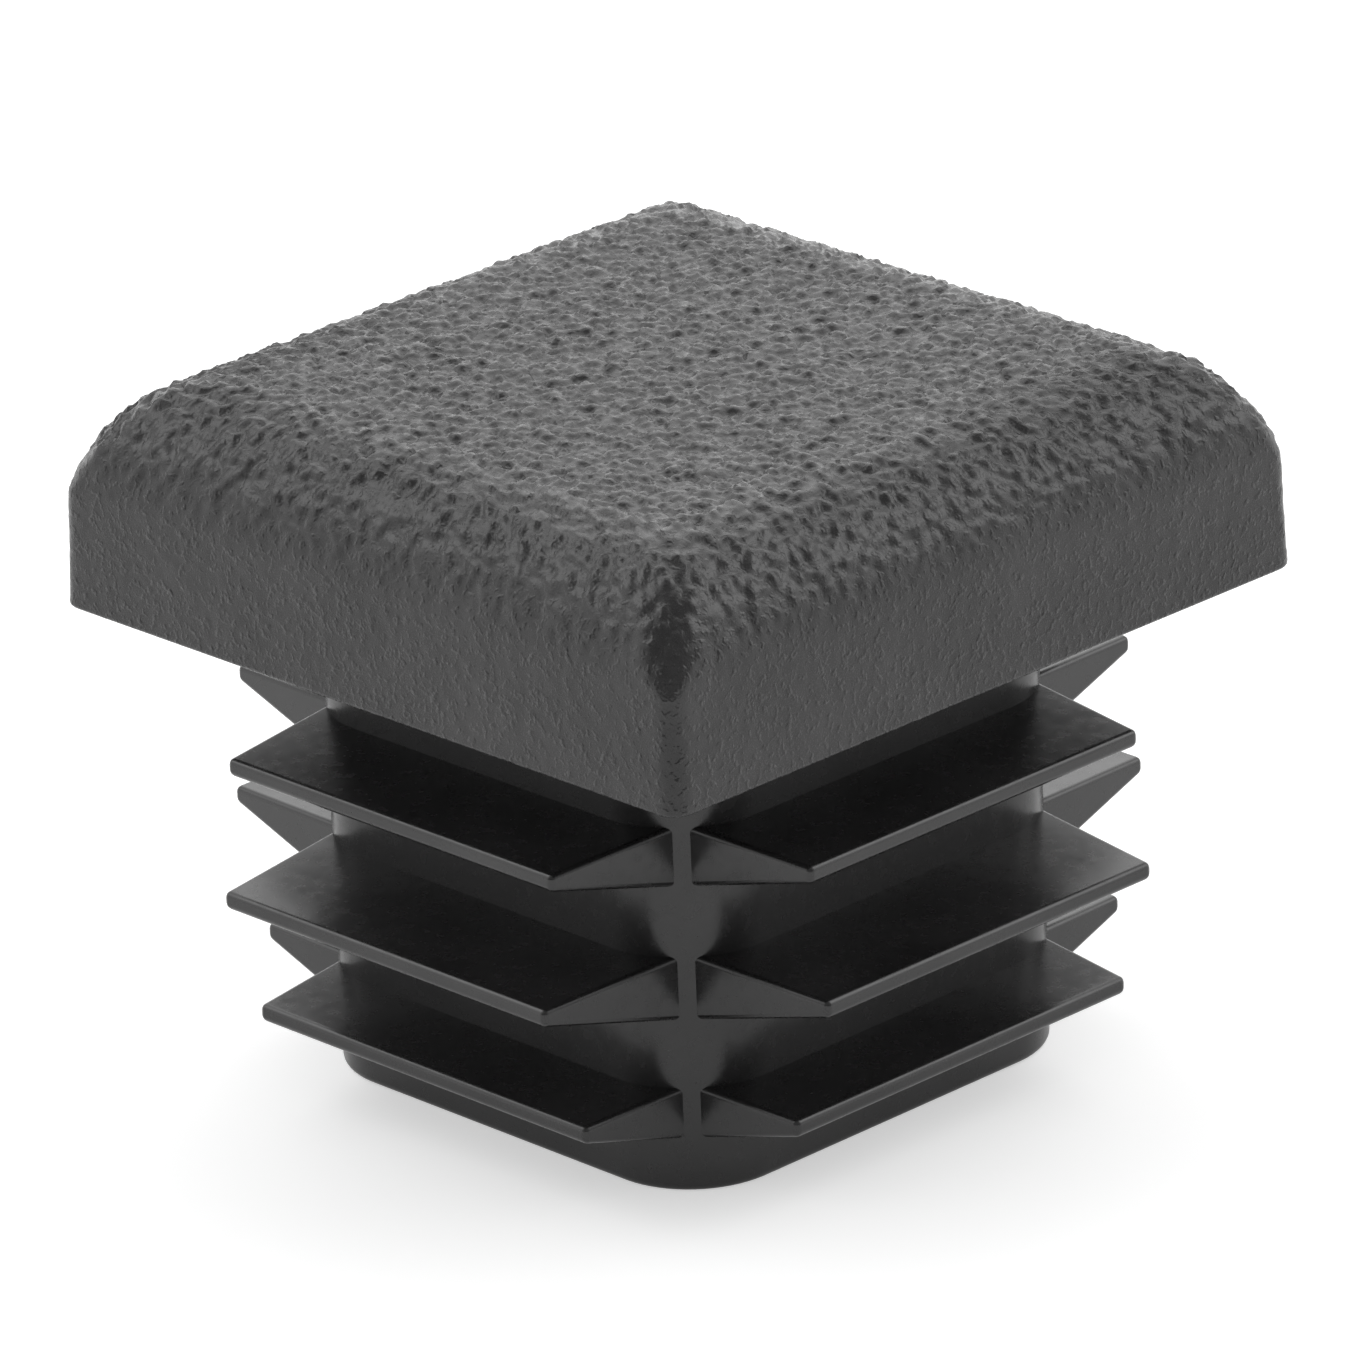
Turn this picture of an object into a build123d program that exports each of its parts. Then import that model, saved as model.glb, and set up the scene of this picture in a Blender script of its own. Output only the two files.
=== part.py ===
from build123d import *
from math import cos, radians, sin, tan
import os

# A push-in end cap for a square tube, moulded in one piece of black plastic.
# The origin is on the tube's axis, in the plane where the head sits on the tube's end.
# +Z points out of the tube through the head, and each side faces X or Y. Lengths are in mm.

# The head, which covers the end of the tube
head_width = 25.0  # across the flats at the seat, the tube's outside width
head_height = 6.95  # from the seat to the middle of the top
head_crown = 0.08  # how far the middle of the top stands above its edges
head_draft = 1.6  # degrees that each side leans in
head_upright_radius = 0.6  # the four upright edges
head_top_radius = 3.4  # the large rounding from the sides to the top
head_seat_radius = 0.15  # the edge that meets the tube

# The hollow stem, which goes into the tube
stem_width = 16.2  # across the flats
stem_corner_radius = 2.9
stem_length = 14.4  # from the seat to the open end
stem_end_radius = 0.25  # outer edge of the open end
stem_wall = 1.7
core_draft = 0.5  # degrees that the hollow narrows towards the head
core_roof = 3.0  # plastic between the hollow and the middle of the top
core_roof_radius = 0.8  # inside edge where the hollow's walls meet its roof

# The gripping fins, in rows from the seat down, one fin on each side of the stem
fin_tip_spans = [23.4, 24.3, 21.8]  # tip to tip across the stem
first_fin_depth = 3.45  # from the seat to the upper edge of the first row's tips
fin_pitch = 3.95
fin_tip_thickness = 0.5
fin_upper_slope = 3.0  # degrees that the upper face falls towards the tip
fin_under_slope = 14.5  # degrees that the under face rises towards the tip
fin_end_lean = 6.0  # degrees that each end face leans in towards the tip
fin_edge_radius = 0.18
corner_strip = 0.5  # bare stem corner left between one fin's end and the next one's
fin_root_depth = 1.0  # how far a fin starts inside the stem's outer face


def head():
    # A drafted square block: its top edges are rounded with mitred corners, then its uprights.
    edge_height = head_height - head_crown
    square = Rectangle(head_width, head_width)
    block = extrude(square, amount=edge_height, taper=head_draft)
    top_edges = block.edges().group_by(Axis.Z)[-1]
    block = fillet(top_edges, head_top_radius)
    block = block + crown(block.faces().sort_by(Axis.Z)[-1])
    rounded_square = RectangleRounded(head_width, head_width, head_upright_radius)
    block = block & extrude(rounded_square, amount=2 * head_height, taper=head_draft)
    seat_edges = block.edges().group_by(Axis.Z)[0]
    return fillet(seat_edges, head_seat_radius)


def crown(flat):
    # The slight swell of the top, arched both ways over the flat that the rounding leaves.
    half = flat.bounding_box().size.X / 2
    edge_height = head_height - head_crown
    chord = Line((-half, edge_height), (half, edge_height))
    arch = ThreePointArc((half, edge_height), (0, head_height), (-half, edge_height))
    vault = extrude(Plane.XZ * make_face([chord, arch]), amount=half, both=True)
    return vault & Rot(0, 0, 90) * vault


def stem():
    section = RectangleRounded(stem_width, stem_width, stem_corner_radius)
    post = extrude(section, amount=-stem_length)
    end_edges = post.edges().group_by(Axis.Z)[0]
    return fillet(end_edges, stem_end_radius)


def core():
    # The hollow inside the stem, open at the stem's end and closed inside the head.
    width = stem_width - 2 * stem_wall
    mouth = Pos(0, 0, -stem_length) * RectangleRounded(width, width, stem_corner_radius - stem_wall)
    hollow = extrude(mouth, amount=stem_length + head_height - core_roof, taper=core_draft)
    roof_edges = hollow.edges().group_by(Axis.Z)[-1]
    return fillet(roof_edges, core_roof_radius)


def fin(tip_span, depth):
    # The fin on the +X side: a wedge in section, and a trapezium seen from above.
    tip = tip_span / 2
    root = stem_width / 2 - fin_root_depth
    rise = (tip - root) * tan(radians(fin_upper_slope))
    fall = (tip - root) * tan(radians(fin_under_slope))
    section = Polyline(
        (root, rise - depth),
        (tip, -depth),
        (tip, -depth - fin_tip_thickness),
        (root, -depth - fin_tip_thickness - fall),
        close=True,
    )
    wedge = extrude(Plane.XZ * make_face(section), amount=stem_width / 2, both=True)

    # Each end face leaves the stem's rounded corner half a strip away from its middle.
    turn = radians(45) - corner_strip / 2 / stem_corner_radius
    corner_centre = stem_width / 2 - stem_corner_radius
    leave_x = corner_centre + stem_corner_radius * cos(turn)
    leave_y = corner_centre + stem_corner_radius * sin(turn)
    lean = tan(radians(fin_end_lean))
    root_half = leave_y + (leave_x - root) * lean
    tip_half = leave_y - (tip - leave_x) * lean
    plan = Polyline((root, root_half), (tip, tip_half), (tip, -tip_half), (root, -root_half), close=True)
    blade = wedge & extrude(make_face(plan), amount=-stem_length)
    free_edges = blade.edges().group_by(Axis.X)[1:]
    return fillet([edge for group in free_edges for edge in group], fin_edge_radius)


def fin_rows():
    blades = []
    for row, tip_span in enumerate(fin_tip_spans):
        blade = fin(tip_span, first_fin_depth + row * fin_pitch)
        blades += [Rot(0, 0, 90 * side) * blade for side in range(4)]
    return blades


def end_cap():
    cap = head() + stem() + fin_rows()
    cap = cap - core()
    return cap


os.makedirs("parts", exist_ok=True)
cap = end_cap()
print("end_cap solids", len(cap.solids()), "volume", round(cap.volume, 1), "mm3")
export_step(cap, "parts/end_cap.step")
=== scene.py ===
import math

import bpy
import numpy as np
from mathutils import Matrix, Vector


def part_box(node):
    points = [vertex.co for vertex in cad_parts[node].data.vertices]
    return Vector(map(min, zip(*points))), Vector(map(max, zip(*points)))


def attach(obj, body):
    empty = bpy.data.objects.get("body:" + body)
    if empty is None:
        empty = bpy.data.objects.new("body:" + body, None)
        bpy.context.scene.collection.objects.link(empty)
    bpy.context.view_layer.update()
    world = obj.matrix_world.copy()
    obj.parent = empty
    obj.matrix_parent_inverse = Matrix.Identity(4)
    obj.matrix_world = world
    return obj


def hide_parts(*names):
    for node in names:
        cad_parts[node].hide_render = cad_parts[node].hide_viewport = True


# Black push-in end cap for a square tube: a grained head, a hollow stem and three rows of fins.
# Lengths are in metres. The origin is on the stem's axis, where the head meets the tube's end.
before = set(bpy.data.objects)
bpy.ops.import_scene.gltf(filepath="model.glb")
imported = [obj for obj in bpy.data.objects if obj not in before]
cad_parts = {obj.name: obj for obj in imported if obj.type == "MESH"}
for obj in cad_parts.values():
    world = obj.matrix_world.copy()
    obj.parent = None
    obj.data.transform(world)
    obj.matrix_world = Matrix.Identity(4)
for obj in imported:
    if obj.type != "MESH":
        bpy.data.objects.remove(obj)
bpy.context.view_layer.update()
capLow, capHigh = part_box("end_cap")
mm = 0.001
print("frame loaded, head top at", round(capHigh.z / mm, 2), "mm")


# Small helpers for meshes

def makeObject(name, verts, faces):
    mesh = bpy.data.meshes.new(name)
    mesh.from_pydata([tuple(v) for v in verts], [], faces)
    mesh.validate()
    obj = bpy.data.objects.new(name, mesh)
    bpy.context.scene.collection.objects.link(obj)
    return obj


def squareRing(half, radius, z, perSide):
    # One turn round a rounded square, from the middle of one corner, evenly spaced on each side.
    quarterArc = radius * math.pi / 4
    straight = 2 * (half - radius)
    along = np.linspace(0, straight + 2 * quarterArc, perSide, endpoint=False)
    x = along - quarterArc - (half - radius)
    y = np.full(perSide, -half)
    if radius > 0:
        lead = np.clip((along - quarterArc) / radius, -math.pi / 4, 0)
        trail = np.clip((along - quarterArc - straight) / radius, 0, math.pi / 4)
        turn = lead + trail
        x = np.clip(x, -(half - radius), half - radius) + radius * np.sin(turn)
        y = -(half - radius) - radius * np.cos(turn)
    ring = []
    for side in range(4):
        c, s = ((1, 0), (0, 1), (-1, 0), (0, -1))[side]
        ring.append(np.stack([x * c - y * s, x * s + y * c, np.full(perSide, z)], axis=1))
    return np.concatenate(ring)


def bridge(first, second):
    # Faces between two rings of equal length, each given as the numbers of its vertices.
    faces = []
    for k in range(len(first)):
        n = (k + 1) % len(first)
        faces.append((first[k], second[k], second[n], first[n]))
    return faces


def smooth(obj):
    obj.data.polygons.foreach_set("use_smooth", [True] * len(obj.data.polygons))


# Small helpers for node trees

class Field:
    # A node socket that takes part in sums, so that a rule in a tree reads like a formula.
    def __init__(self, tree, socket):
        self.tree = tree
        self.socket = socket

    def calc(self, operation, *others):
        node = self.tree.nodes.new("ShaderNodeMath")
        node.operation = operation
        for slot, value in zip(node.inputs, (self, *others)):
            plug(self.tree, value, slot)
        return Field(self.tree, node.outputs[0])

    def __add__(self, other):
        return self.calc("ADD", other)

    def __sub__(self, other):
        return self.calc("SUBTRACT", other)

    def __mul__(self, other):
        return self.calc("MULTIPLY", other)

    def __truediv__(self, other):
        return self.calc("DIVIDE", other)

    def __neg__(self):
        return self.calc("MULTIPLY", -1)


def plug(tree, value, slot):
    # Links a field or a socket to an input, or sets the input's own value.
    if isinstance(value, Field):
        value = value.socket
    if isinstance(value, bpy.types.NodeSocket):
        tree.links.new(value, slot)
    else:
        slot.default_value = value


def addNode(tree, kind, inputs=(), **settings):
    node = tree.nodes.new(kind)
    for key, value in settings.items():
        setattr(node, key, value)
    for key, value in dict(inputs).items():
        plug(tree, value, node.inputs[key])
    return node


def newTree(name, floats):
    # A geometry tree with a geometry input, a material input and one float input for each name.
    tree = bpy.data.node_groups.new(name, "GeometryNodeTree")
    tree.interface.new_socket(name="Geometry", in_out="INPUT", socket_type="NodeSocketGeometry")
    for label in floats:
        tree.interface.new_socket(name=label, in_out="INPUT", socket_type="NodeSocketFloat")
    tree.interface.new_socket(name="Material", in_out="INPUT", socket_type="NodeSocketMaterial")
    tree.interface.new_socket(name="Geometry", in_out="OUTPUT", socket_type="NodeSocketGeometry")
    start = tree.nodes.new("NodeGroupInput")
    end = tree.nodes.new("NodeGroupOutput")
    sizes = {label: Field(tree, start.outputs[label]) for label in floats}
    return tree, start, end, sizes


def runTree(obj, tree, values):
    # Puts the tree on the object, sets its inputs and keeps the result as a plain mesh.
    modifier = obj.modifiers.new(tree.name, "NODES")
    modifier.node_group = tree
    for item in tree.interface.items_tree:
        if item.in_out == "INPUT" and item.name in values:
            modifier[item.identifier] = values[item.name]
    bpy.context.view_layer.update()
    graph = bpy.context.evaluated_depsgraph_get()
    made = bpy.data.meshes.new_from_object(obj.evaluated_get(graph), depsgraph=graph)
    obj.modifiers.clear()
    obj.data = made
    return obj


# Finishes

headFinish = {
    "colour": (0.0195, 0.019, 0.0193, 1),
    "paleColour": (0.031, 0.0302, 0.0306, 1),
    "roughness": (0.2, 0.3),
    "bumpHeight": 0.012 * mm,
    "bumpScale": 5200,
    "bumpEdges": (0.52, 0.78),  # noise levels where a pimple starts and where it is full
    "microScale": 20000,
    "microShare": 0.35,  # height of the finest grain beside the pimples
    "sideBump": 2.2,  # how many times as high the bumps are on the sides as on the top
    "sideEdges": (3.5 * mm, 5.5 * mm),
    "cloudScale": 420,
}
stemFinish = {
    "colour": (0.0132, 0.0128, 0.013, 1),
    "paleColour": (0.0215, 0.0208, 0.0212, 1),
    "specular": 0.62,
    "roughness": (0.2, 0.3),
    "waveScale": 420,
    "waveHeight": 0.02 * mm,
    "cloudScale": 300,
    "hazeScale": 2600,
}


def newMaterial(name):
    material = bpy.data.materials.new(name)
    material.use_nodes = True
    tree = material.node_tree
    shader = tree.nodes["Principled BSDF"]
    place = addNode(tree, "ShaderNodeTexCoord").outputs["Object"]
    return material, tree, shader, place


def noise(tree, place, scale, detail):
    node = addNode(tree, "ShaderNodeTexNoise", {"Vector": place, "Scale": scale, "Detail": detail})
    return node.outputs["Fac"]


def ramp(tree, value, low, high, outLow, outHigh):
    node = addNode(tree, "ShaderNodeMapRange", {
        "Value": value, "From Min": low, "From Max": high, "To Min": outLow, "To Max": outHigh})
    return node.outputs["Result"]


def mixColour(tree, factor, first, second):
    # Sockets 6 and 7, and output 2, are the node's colour ones.
    node = addNode(tree, "ShaderNodeMix", {0: factor, 6: first, 7: second}, data_type="RGBA")
    return node.outputs[2]


def cloudy(tree, place, finish, detail):
    # The finish's two colours, mixed in slow clouds.
    cloud = noise(tree, place, finish["cloudScale"], detail)
    shade = ramp(tree, cloud, 0.35, 0.65, 0.0, 1.0)
    return mixColour(tree, shade, finish["colour"], finish["paleColour"])


def hazy(tree, fine, finish):
    # The finish's range of roughness, spread over a fine noise.
    return ramp(tree, fine, 0.3, 0.7, *finish["roughness"])


def grainedPlastic():
    # The finest part of the spark-eroded grain: pimples with finer ones between, highest on the sides.
    material, tree, shader, place = newMaterial("grained_plastic")
    coarse = noise(tree, place, headFinish["bumpScale"], 1.0)
    coarse = Field(tree, ramp(tree, coarse, *headFinish["bumpEdges"], 0.0, 1.0))
    micro = noise(tree, place, headFinish["microScale"], 2.0)
    plug(tree, cloudy(tree, place, headFinish, 3.0), shader.inputs["Base Color"])
    plug(tree, hazy(tree, micro, headFinish), shader.inputs["Roughness"])
    level = addNode(tree, "ShaderNodeSeparateXYZ", {0: place}).outputs["Z"]
    share = ramp(tree, level, *headFinish["sideEdges"], headFinish["sideBump"], 1.0)
    height = (Field(tree, micro) * headFinish["microShare"] + coarse) * share
    bump = addNode(tree, "ShaderNodeBump", {
        "Height": height, "Distance": headFinish["bumpHeight"], "Strength": 1.0})
    plug(tree, bump.outputs["Normal"], shader.inputs["Normal"])
    return material


def smoothPlastic():
    # The stem and fins come from a smooth part of the mould, with a satin haze and faint waves.
    material, tree, shader, place = newMaterial("smooth_plastic")
    haze = noise(tree, place, stemFinish["hazeScale"], 3.0)
    plug(tree, cloudy(tree, place, stemFinish, 4.0), shader.inputs["Base Color"])
    plug(tree, hazy(tree, haze, stemFinish), shader.inputs["Roughness"])
    shader.inputs["Specular IOR Level"].default_value = stemFinish["specular"]
    wave = noise(tree, place, stemFinish["waveScale"], 2.0)
    bump = addNode(tree, "ShaderNodeBump", {
        "Height": wave, "Distance": stemFinish["waveHeight"], "Strength": 1.0})
    plug(tree, bump.outputs["Normal"], shader.inputs["Normal"])
    return material


grained = grainedPlastic()
satin = smoothPlastic()
print("finishes made")


# The head: a grid over the top, then rings down the rounding and sides, under the seat and up
# into the hollow

head = {
    "width": 25.0 * mm,
    "height": 6.95 * mm,
    "crown": 0.08 * mm,
    "draft": math.radians(1.6),
    "topRadius": 3.4 * mm,
    "uprightRadius": 0.62 * mm,
    "ridgeStart": 0.625,  # share of the rounding over which its corners reach the uprights' radius
    "ridgeBlend": 0.75 * mm,  # how much rounder the mitred corners are halfway down the rounding
    "seatRadius": 0.15 * mm,
    "cells": 184,  # grid cells along each side of the top
    "roundingRows": 42,
    "sideRows": 28,
    "seatRows": 4,
    "roofRows": 6,
    "hollowHalf": 6.27 * mm,
    "hollowRadius": 1.07 * mm,
    "roofRadius": 0.8 * mm,
    "roofHeight": 3.95 * mm,
    "roofCorner": 0.25 * mm,  # least corner radius of the hollow's roof
}


def headProfile():
    # Rings from the top grid's border outwards, down, in under the seat and up into the hollow,
    # each as half width, height and corner radius.
    half = head["width"] / 2
    edgeHeight = head["height"] - head["crown"]
    slope = math.tan(head["draft"])
    big = head["topRadius"]
    sweep = math.pi / 2 - head["draft"]
    reach = big * math.tan(sweep / 2)
    flatHalf = half - edgeHeight * slope - reach
    rings = []
    for k in range(1, head["roundingRows"] + 1):
        a = sweep * k / head["roundingRows"]
        share = a / sweep
        corner = head["uprightRadius"] * min(1, share / head["ridgeStart"])
        corner += head["ridgeBlend"] * 4 * share * (1 - share)
        rings.append((flatHalf + big * math.sin(a), edgeHeight - big * (1 - math.cos(a)), corner))
    topOfSide = rings[-1][1]
    small = head["seatRadius"]
    foot = small * (1 + math.sin(head["draft"]))
    for k in range(1, head["sideRows"] + 1):
        z = topOfSide + (foot - topOfSide) * k / head["sideRows"]
        rings.append((half - z * slope, z, head["uprightRadius"]))
    start = rings[-1][0]
    for k in range(1, head["seatRows"] + 1):
        a = math.radians(90) * k / head["seatRows"]
        rings.append((start - small * (1 - math.cos(a)), foot * (1 - math.sin(a)), head["uprightRadius"]))
    inner, corner, roof = head["hollowHalf"], head["hollowRadius"], head["roofRadius"]
    rings.append(((rings[-1][0] + inner) / 2, 0, corner))
    rings.append((inner, 0, corner))
    rings.append((inner, head["roofHeight"] - roof, corner))
    for k in range(1, head["roofRows"] + 1):
        a = math.radians(90) * k / head["roofRows"]
        rings.append((inner - roof * (1 - math.cos(a)), head["roofHeight"] - roof * (1 - math.sin(a)),
                      max(corner - roof * (1 - math.cos(a)), head["roofCorner"])))
    return flatHalf, edgeHeight, rings


def headBlank():
    count = head["cells"]
    flatHalf, edgeHeight, rings = headProfile()
    archRadius = (flatHalf ** 2 + head["crown"] ** 2) / (2 * head["crown"])
    grid = np.linspace(-flatHalf, flatHalf, count + 1)
    swell = np.sqrt(archRadius ** 2 - grid ** 2) - (archRadius - head["crown"])
    verts, faces = [], []
    for j in range(count + 1):
        for i in range(count + 1):
            verts.append((grid[i], grid[j], edgeHeight + min(swell[i], swell[j])))
    side = count + 1
    for j in range(count):
        for i in range(count):
            a = j * side + i
            faces.append((a, a + 1, a + side + 1, a + side))
    border = list(range(count))
    border += [j * side + count for j in range(count)]
    border += [count * side + count - i for i in range(count)]
    border += [(count - j) * side for j in range(count)]
    around = 4 * count
    previous = border
    for half, z, radius in rings:
        current = list(range(len(verts), len(verts) + around))
        verts += list(squareRing(half, radius, z, count))
        faces += bridge(previous, current)
        previous = current
    faces.append(tuple(reversed(previous)))
    blank = makeObject("grained_head", verts, faces)
    smooth(blank)
    return blank


grain = {
    "Mound Size": 0.38 * mm,
    "Mound Height": 0.16 * mm,
    "Pebble Size": 0.25 * mm,
    "Pebble Height": 0.07 * mm,
    "Mound Reach": 0.8,
    "Unevenness": 0.75,
    "Drift": 0.25 * mm,
    "Swell Size": 1.2 * mm,
    "Swell Height": 0.04 * mm,
    "Swell Top": 0.75,
    "Side Share": 0.15,
    "Side Normal": 0.1,
    "Top Normal": 0.7,
    "Seat Height": 0.10 * mm,
    "Seat Fade": 0.2 * mm,
    "Seed": 3.0,
}
noiseCell = 0.57  # a noise's cell as a share of the lumps that it gives
hollowClear = 1.0 * mm  # how far from the hollow the grain starts


def grainTree():
    # Sinks the head's outer points along their normals between pebble-like mounds of two sizes, and
    # again by a slower swell, so no point rises above the true surface and most lie a little below.
    # The upright sides, which slide out of the mould, get a shallower grain. The seat stays smooth.
    tree, start, end, s = newTree("grain", list(grain))
    spot = addNode(tree, "GeometryNodeInputPosition").outputs[0]
    normal = addNode(tree, "GeometryNodeInputNormal").outputs[0]
    parts = addNode(tree, "ShaderNodeSeparateXYZ", {0: spot})
    height = Field(tree, parts.outputs["Z"])
    reachX = Field(tree, parts.outputs["X"]).calc("ABSOLUTE")
    reachY = Field(tree, parts.outputs["Y"]).calc("ABSOLUTE")
    reach = reachX.calc("MAXIMUM", reachY)
    outside = reach.calc("GREATER_THAN", head["hollowHalf"] + hollowClear)
    onTop = height.calc("GREATER_THAN", head["roofHeight"] + hollowClear)
    outer = outside.calc("MAXIMUM", onTop)
    above = ((height - s["Seat Height"]) / s["Seat Fade"]).calc("MAXIMUM", 0).calc("MINIMUM", 1)
    upward = addNode(tree, "ShaderNodeMapRange", {
        "Value": addNode(tree, "ShaderNodeSeparateXYZ", {0: normal}).outputs["Z"],
        "From Min": s["Side Normal"], "From Max": s["Top Normal"], "To Min": s["Side Share"], "To Max": 1.0})
    depth = Field(tree, upward.outputs["Result"]) * outer * above

    slow = addNode(tree, "ShaderNodeTexNoise", {
        "Vector": spot, "W": s["Seed"], "Scale": (s["Swell Size"] * noiseCell).calc("POWER", -1),
        "Detail": 1.0, "Roughness": 0.5}, noise_dimensions="4D")
    swell = (-(Field(tree, slow.outputs[0]) / s["Swell Top"]).calc("MINIMUM", 1) + 1) * s["Swell Height"]
    quick = addNode(tree, "ShaderNodeTexNoise", {
        "Vector": spot, "W": s["Seed"], "Scale": (s["Mound Size"] * noiseCell).calc("POWER", -1),
        "Detail": 0.0}, noise_dimensions="4D")
    drift = addNode(tree, "ShaderNodeVectorMath", {0: quick.outputs["Color"]}, operation="SCALE")
    plug(tree, s["Drift"], drift.inputs["Scale"])
    bent = addNode(tree, "ShaderNodeVectorMath", {0: spot, 1: drift.outputs[0]}, operation="ADD")

    def pebbles(size, place, seed):
        # How far down the surface is between mounds of one size, from 0 on their tops to 1.
        cells = addNode(tree, "ShaderNodeTexVoronoi", {
            "Vector": place, "W": seed, "Scale": size.calc("POWER", -1), "Randomness": s["Unevenness"],
        }, voronoi_dimensions="4D", feature="F1")
        off = Field(tree, cells.outputs["Distance"]) / s["Mound Reach"]
        return off.calc("MINIMUM", 1).calc("POWER", 2)

    fall = pebbles(s["Mound Size"], bent.outputs[0], s["Seed"]) * s["Mound Height"]
    fall = fall + pebbles(s["Pebble Size"], spot, s["Seed"] + 3) * s["Pebble Height"]
    sink = -(fall + swell) * depth
    push = addNode(tree, "ShaderNodeVectorMath", {0: normal}, operation="SCALE")
    plug(tree, sink, push.inputs["Scale"])
    moved = addNode(tree, "GeometryNodeSetPosition", {
        "Geometry": start.outputs["Geometry"], "Offset": push.outputs[0]})
    whole = addNode(tree, "GeometryNodeRealizeInstances", {"Geometry": moved.outputs[0]})
    dressed = addNode(tree, "GeometryNodeSetMaterial", {
        "Geometry": whole.outputs[0], "Material": start.outputs["Material"]})
    plug(tree, dressed.outputs[0], end.inputs["Geometry"])
    return tree


grainedHead = runTree(headBlank(), grainTree(), {**grain, "Material": grained})
print("head made,", len(grainedHead.data.polygons), "faces")


# The stem: a rounded square tube, its upper end tucked into the head

stem = {
    "half": 8.1 * mm,
    "cornerRadius": 2.9 * mm,
    "length": 14.4 * mm,
    "endRadius": 0.25 * mm,
    "mouthHalf": 6.4 * mm,
    "mouthRadius": 1.2 * mm,
    "tuck": 0.4 * mm,
    "perSide": 56,
    "rows": 24,
    "endRows": 5,
}


def hollowStem():
    # Rings down the outside, round the open end and up the inside.
    s = stem
    tube = [(s["half"], s["tuck"], s["cornerRadius"])]
    for k in range(s["rows"] + 1):
        z = (s["endRadius"] - s["length"]) * k / s["rows"]
        tube.append((s["half"], z, s["cornerRadius"]))
    for k in range(1, s["endRows"] + 1):
        a = math.radians(90) * k / s["endRows"]
        drop = s["endRadius"] * (1 - math.cos(a))
        tube.append((s["half"] - drop, s["endRadius"] * (1 - math.sin(a)) - s["length"],
                     s["cornerRadius"] - drop))
    for k in range(s["rows"] + 1):
        share = k / s["rows"]
        inner = s["mouthHalf"] + (head["hollowHalf"] - s["mouthHalf"]) * share
        corner = s["mouthRadius"] + (head["hollowRadius"] - s["mouthRadius"]) * share
        tube.append((inner, -s["length"] * (1 - share), corner))
    tube.append((head["hollowHalf"] + s["tuck"], s["tuck"], head["hollowRadius"] + s["tuck"]))
    verts, faces, rings = [], [], []
    around = 4 * s["perSide"]
    for half, z, radius in tube:
        rings.append(range(len(verts), len(verts) + around))
        verts += list(squareRing(half, radius, z, s["perSide"]))
    for ring, following in zip(rings, rings[1:] + rings[:1]):
        faces += bridge(ring, following)
    made = makeObject("hollow_stem", verts, faces)
    smooth(made)
    made.data.materials.append(satin)
    return made


hollow = hollowStem()
print("stem made,", len(hollow.data.polygons), "faces")


# The fins: one rule places, shapes and turns twelve wedges

fins = {
    "Stem Half": 8.1 * mm,
    "Corner Radius": 2.9 * mm,
    "Corner Strip": 0.5 * mm,
    "Root Depth": 1.0 * mm,
    "Tip Thickness": 0.5 * mm,
    "Upper Slope": math.radians(3.0),
    "Under Slope": math.radians(14.5),
    "End Lean": math.radians(6.0),
    "First Depth": 3.45 * mm,
    "Pitch": 3.95 * mm,
    "Top Span": 23.4 * mm,
    "Middle Span": 24.3 * mm,
    "End Span": 21.8 * mm,
}
finCount = 12
finEdge = {"width": 0.18 * mm, "segments": 4, "angle": math.radians(20)}


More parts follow.
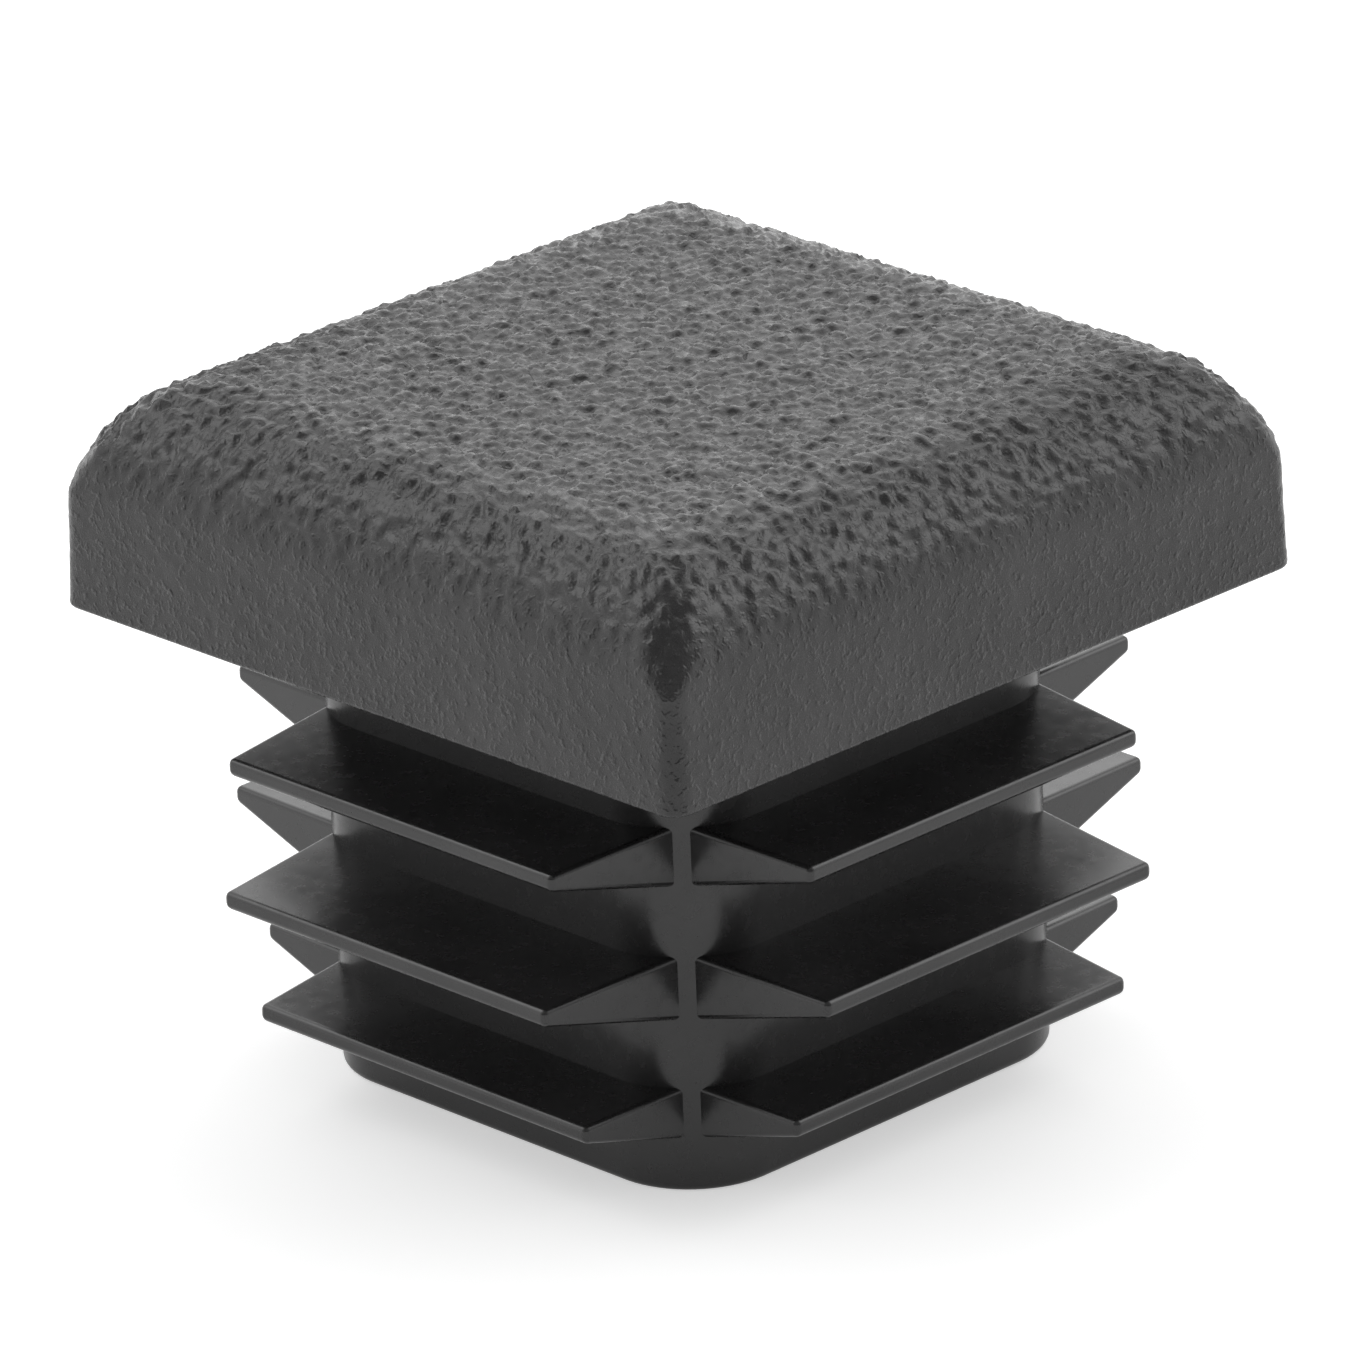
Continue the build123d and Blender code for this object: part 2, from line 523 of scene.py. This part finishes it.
def finTree():
    # Twelve unit cubes, whose corners are then moved to the corners of the fins. Four in a row
    # share a height and are turned to the stem's four sides.
    tree, start, end, s = newTree("fins", list(fins))
    seeds = addNode(tree, "GeometryNodeMeshLine", {
        "Count": finCount, "Start Location": (0, 0, 0), "Offset": (0, 0, 0)})
    cube = addNode(tree, "GeometryNodeMeshCube", {"Size": (1, 1, 1)})
    corner = addNode(tree, "GeometryNodeCaptureAttribute", domain="POINT")
    corner.capture_items.new("VECTOR", "corner")
    plug(tree, cube.outputs["Mesh"], corner.inputs[0])
    plug(tree, addNode(tree, "GeometryNodeInputPosition").outputs[0], corner.inputs[1])
    number = addNode(tree, "GeometryNodeCaptureAttribute", domain="POINT")
    number.capture_items.new("INT", "number")
    plug(tree, seeds.outputs["Mesh"], number.inputs[0])
    plug(tree, addNode(tree, "GeometryNodeInputIndex").outputs[0], number.inputs[1])
    copies = addNode(tree, "GeometryNodeInstanceOnPoints", {
        "Points": number.outputs[0], "Instance": corner.outputs[0]})
    loose = addNode(tree, "GeometryNodeRealizeInstances", {"Geometry": copies.outputs[0]})

    place = addNode(tree, "ShaderNodeSeparateXYZ", {0: corner.outputs[1]})
    u = Field(tree, place.outputs["X"]) + 0.5  # 0 at the root, 1 at the tip
    v = Field(tree, place.outputs["Y"]) * 2  # -1 and 1 at the two ends
    w = Field(tree, place.outputs["Z"]) + 0.5  # 0 below, 1 above
    index = Field(tree, number.outputs[1])
    row = (index / 4).calc("FLOOR")
    side = index - row * 4

    span = addNode(tree, "GeometryNodeIndexSwitch", data_type="FLOAT")
    span.index_switch_items.new()
    plug(tree, row, span.inputs["Index"])
    for slot, label in zip(("0", "1", "2"), ("Top Span", "Middle Span", "End Span")):
        plug(tree, s[label], span.inputs[slot])
    tip = Field(tree, span.outputs[0]) / 2
    root = s["Stem Half"] - s["Root Depth"]
    x = root + u * (tip - root)

    turn = (s["Corner Strip"] / s["Corner Radius"]) * -0.5 + math.radians(45)
    centre = s["Stem Half"] - s["Corner Radius"]
    leaveX = centre + s["Corner Radius"] * turn.calc("COSINE")
    leaveY = centre + s["Corner Radius"] * turn.calc("SINE")
    y = v * (leaveY - (x - leaveX) * s["End Lean"].calc("TANGENT"))

    level = -(s["First Depth"] + row * s["Pitch"])
    upper = level + (tip - x) * s["Upper Slope"].calc("TANGENT")
    lower = level - s["Tip Thickness"] - (tip - x) * s["Under Slope"].calc("TANGENT")
    z = lower + w * (upper - lower)

    point = addNode(tree, "ShaderNodeCombineXYZ", {"X": x, "Y": y, "Z": z})
    turned = addNode(tree, "ShaderNodeVectorRotate", {
        "Vector": point.outputs[0], "Angle": side * math.radians(90)}, rotation_type="Z_AXIS")
    shaped = addNode(tree, "GeometryNodeSetPosition", {
        "Geometry": loose.outputs[0], "Position": turned.outputs[0]})
    whole = addNode(tree, "GeometryNodeRealizeInstances", {"Geometry": shaped.outputs[0]})
    dressed = addNode(tree, "GeometryNodeSetMaterial", {
        "Geometry": whole.outputs[0], "Material": start.outputs["Material"]})
    plug(tree, dressed.outputs[0], end.inputs["Geometry"])
    return tree


def grippingFins():
    made = runTree(makeObject("gripping_fins", [], []), finTree(), {**fins, "Material": satin})
    smooth(made)
    edge = made.modifiers.new("edge", "BEVEL")
    edge.width = finEdge["width"]
    edge.segments = finEdge["segments"]
    edge.limit_method = "ANGLE"
    edge.angle_limit = finEdge["angle"]
    edge.harden_normals = True
    return made


gripping = grippingFins()
print("fins made,", len(gripping.data.polygons), "faces before their edges are rounded")

for piece in (grainedHead, hollow, gripping):
    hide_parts("end_cap")
    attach(piece, "root")


# Floor, light and camera

studio = {
    "floorSize": 3.0,
    "floorColour": (0.82, 0.82, 0.82, 1),
    "floorLift": 0.5,  # glow that only the camera sees, so that the floor ends up white
    "floorGlow": 0.3,  # glow seen in the plastic
    "fill": 0.36,  # light from everywhere
    "ring": 1.15,  # more light low down, except from the camera's side
    "farGlow": 0.6,  # still more low down behind the object
    "lowReach": 0.4,  # upward part of the directions where the ring and the far glow end
    "nearFade": (0.1, 0.8),  # nearness of the directions over which the ring turns dark
    "farFade": (-0.9, -0.3),
}
# Each soft box: its turn round from behind the object, its height, the half angles within which
# it is full and beyond which it is dark, in degrees, and its strength
boxes = {
    "back": (5, 46, 16, 38, 1.5),
    "left": (-85, 40, 10, 32, 1.1),
    "right": (85, 40, 10, 32, 1.0),
    "high left": (-62, 44, 7, 22, 1.3),
    "high right": (72, 34, 6, 22, 1.6),
}
view = {
    "target": Vector((0, 0, -5 * mm)),
    "azimuth": math.radians(46.11),
    "elevation": math.radians(21.99),
    "roll": math.radians(-2.27),
    "distance": 339.8 * mm,
    "aside": -0.135 * mm,
    "above": 1.91 * mm,
    "lens": 313.1,
    "sensor": 36.0,
    "nearest": 10 * mm,
    "farthest": 10.0,
}

nearSide = Vector((math.sin(view["azimuth"]), -math.cos(view["azimuth"]), 0))
rightSide = Vector((math.cos(view["azimuth"]), math.sin(view["azimuth"]), 0))


def floor():
    size = studio["floorSize"] / 2
    z = capLow.z
    made = makeObject("floor", [(-size, -size, z), (size, -size, z), (size, size, z), (-size, size, z)],
                      [(0, 1, 2, 3)])
    material = bpy.data.materials.new("pale_floor")
    material.use_nodes = True
    tree = material.node_tree
    tree.nodes.clear()
    diffuse = addNode(tree, "ShaderNodeBsdfDiffuse", {"Color": studio["floorColour"]})
    path = addNode(tree, "ShaderNodeLightPath")
    mirrored = Field(tree, path.outputs["Is Glossy Ray"]) * studio["floorGlow"]
    lift = Field(tree, path.outputs["Is Camera Ray"]) * studio["floorLift"] + mirrored
    glow = addNode(tree, "ShaderNodeEmission", {"Strength": lift})
    both = addNode(tree, "ShaderNodeAddShader")
    plug(tree, diffuse.outputs[0], both.inputs[0])
    plug(tree, glow.outputs[0], both.inputs[1])
    out = addNode(tree, "ShaderNodeOutputMaterial")
    plug(tree, both.outputs[0], out.inputs["Surface"])
    made.data.materials.append(material)


def surroundings():
    # A pale room, brighter low down at the sides and behind, dark low down near the camera, with
    # a few soft boxes in it.
    world = bpy.data.worlds.new("studio")
    bpy.context.scene.world = world
    world.use_nodes = True
    tree = world.node_tree
    tree.nodes.clear()
    direction = addNode(tree, "ShaderNodeTexCoord").outputs["Generated"]

    def along(axis):
        node = addNode(tree, "ShaderNodeVectorMath", {0: direction, 1: axis}, operation="DOT_PRODUCT")
        return node.outputs["Value"]

    low = Field(tree, ramp(tree, along((0, 0, 1)), 0.0, studio["lowReach"], 1.0, 0.0))
    around = ramp(tree, along(nearSide), *studio["nearFade"], studio["ring"], -studio["fill"])
    behind = ramp(tree, along(nearSide), *studio["farFade"], studio["farGlow"], 0.0)
    total = low * around + low * behind + studio["fill"]
    for turn, height, full, faded, strength in boxes.values():
        turn, height = math.radians(turn), math.radians(height)
        away = rightSide * math.sin(turn) - nearSide * math.cos(turn)
        spot = away * math.cos(height) + Vector((0, 0, math.sin(height)))
        total = total + Field(tree, ramp(tree, along(spot), math.cos(math.radians(faded)),
                                         math.cos(math.radians(full)), 0.0, strength))
    light = addNode(tree, "ShaderNodeBackground", {"Color": (1, 1, 1, 1), "Strength": total})
    out = addNode(tree, "ShaderNodeOutputWorld")
    plug(tree, light.outputs[0], out.inputs["Surface"])


def camera():
    az, el, roll = view["azimuth"], view["elevation"], view["roll"]
    ahead = Vector((-math.sin(az) * math.cos(el), math.cos(az) * math.cos(el), -math.sin(el)))
    right = Vector((math.cos(az), math.sin(az), 0))
    up = right.cross(ahead)
    rolledRight = right * math.cos(roll) + up * math.sin(roll)
    rolledUp = up * math.cos(roll) - right * math.sin(roll)
    data = bpy.data.cameras.new("camera")
    data.lens = view["lens"]
    data.sensor_width = view["sensor"]
    data.clip_start = view["nearest"]
    data.clip_end = view["farthest"]
    made = bpy.data.objects.new("camera", data)
    bpy.context.scene.collection.objects.link(made)
    spot = view["target"] + rolledRight * view["aside"] + rolledUp * view["above"]
    spot = spot - ahead * view["distance"]
    turn = Matrix((rolledRight, rolledUp, -ahead)).transposed().to_4x4()
    made.matrix_world = Matrix.Translation(spot) @ turn
    bpy.context.scene.camera = made


floor()
surroundings()
camera()
bpy.context.scene.view_settings.view_transform = "Standard"
print("studio and camera made")
